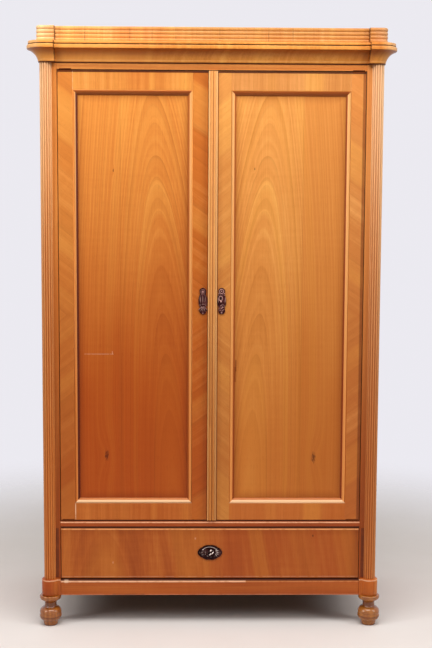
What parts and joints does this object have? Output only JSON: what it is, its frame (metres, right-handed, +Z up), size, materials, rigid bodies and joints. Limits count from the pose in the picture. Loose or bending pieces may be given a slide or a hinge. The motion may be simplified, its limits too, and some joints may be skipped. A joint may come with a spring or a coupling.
{
  "type": "two-door wardrobe cupboard",
  "caption": "Veneered wardrobe cupboard with two framed doors over one wide drawer, fluted corner columns, a reeded cornice and turned front feet.",
  "frame": {"origin": "on the floor, under the middle of the whole part's box", "axes": "+Z up, +X to the right as seen from the front, the doors and the drawer face -Y"},
  "size_m": [1.208, 0.5846, 2],
  "materials": {
    "frame_veneer": "satin shellac over cherry veneer",
    "panel_veneer": "satin shellac over book-matched cherry veneer",
    "moulding_wood": "satin shellac over solid cherry",
    "cornice_wood": "satin shellac over solid cherry",
    "plinth_veneer": "satin shellac over cherry veneer",
    "side_veneer": "satin shellac over cherry veneer",
    "foot_wood": "glossy shellac over turned cherry",
    "softwood": "planed, unfinished",
    "rail_wood": "waxed beech",
    "bronze": "dark patinated cast relief",
    "brass": "dull, lightly tarnished",
    "lock_iron": "browned iron"
  },
  "bodies": {
    "cabinet": {"left_front_post": "frame_veneer", "right_front_post": "frame_veneer", "frieze_rail": "frame_veneer", "cross_rail": "frame_veneer", "left_column": "moulding_wood", "right_column": "moulding_wood", "cornice_front": "cornice_wood", "cornice_left": "cornice_wood", "cornice_right": "cornice_wood", "cornice_left_corner": "cornice_wood", "cornice_right_corner": "cornice_wood", "gallery": "cornice_wood", "plinth_front_rail": "plinth_veneer", "plinth_side_rails": "plinth_veneer", "left_plinth_corner": "plinth_veneer", "right_plinth_corner": "plinth_veneer", "left_side_panel": "side_veneer", "right_side_panel": "side_veneer", "side_rails": "side_veneer", "rear_posts": "side_veneer", "left_front_foot": "foot_wood", "right_front_foot": "foot_wood", "rear_feet": "foot_wood", "floor_board": "softwood", "hat_shelf": "softwood", "top_board": "softwood", "back_boards": "softwood", "shelf_bearers": "softwood", "drawer_runners": "softwood", "hanging_rail": "rail_wood", "rail_sockets": "rail_wood", "case_hinge_plates": "brass"},
    "left_door": {"left_door_outer_stile": "frame_veneer", "left_door_meeting_stile": "frame_veneer", "left_door_rails": "frame_veneer", "left_door_panel": "panel_veneer", "left_door_moulding": "moulding_wood", "left_door_hinge_plates": "brass", "left_door_bolt_plates": "brass", "left_door_escutcheon": "bronze"},
    "right_door": {"right_door_outer_stile": "frame_veneer", "right_door_meeting_stile": "frame_veneer", "right_door_rails": "frame_veneer", "right_door_panel": "panel_veneer", "right_door_moulding": "moulding_wood", "right_door_hinge_plates": "brass", "meeting_strip": "moulding_wood", "door_lock": "lock_iron", "right_door_escutcheon": "bronze"},
    "drawer": {"drawer_front": "frame_veneer", "drawer_sides": "softwood", "drawer_back": "softwood", "drawer_bottom": "softwood", "drawer_lock": "lock_iron", "drawer_escutcheon": "bronze"},
    "top_bolt": {"left_door_top_bolt": "brass"},
    "bottom_bolt": {"left_door_bottom_bolt": "brass"},
    "lock_bolt": {"door_lock_bolt": "brass"},
    "drawer_bolt": {"drawer_lock_bolt": "brass"}
  },
  "joints": [
    {"name": "left_door_swing", "type": "hinge", "parent": "cabinet", "child": "left_door", "pos_m": [-0.5, -0.23275, 1.11225], "axis": [0, 0, -1], "range_deg": [0, 105]},
    {"name": "right_door_swing", "type": "hinge", "parent": "cabinet", "child": "right_door", "pos_m": [0.5, -0.23275, 1.11225], "axis": [0, 0, 1], "range_deg": [0, 105]},
    {"name": "drawer_slide", "type": "slide", "parent": "cabinet", "child": "drawer", "axis": [0, -1, 0], "range_m": [0, 0.4]},
    {"name": "top_bolt_slide", "type": "slide", "parent": "left_door", "child": "top_bolt", "axis": [0, 0, 1], "range_m": [0, 0.012]},
    {"name": "bottom_bolt_slide", "type": "slide", "parent": "left_door", "child": "bottom_bolt", "axis": [0, 0, -1], "range_m": [0, 0.012]},
    {"name": "lock_bolt_slide", "type": "slide", "parent": "right_door", "child": "lock_bolt", "axis": [-1, 0, 0], "range_m": [0, 0.012]},
    {"name": "drawer_bolt_slide", "type": "slide", "parent": "drawer", "child": "drawer_bolt", "axis": [0, 0, 1], "range_m": [0, 0.009]}
  ]
}
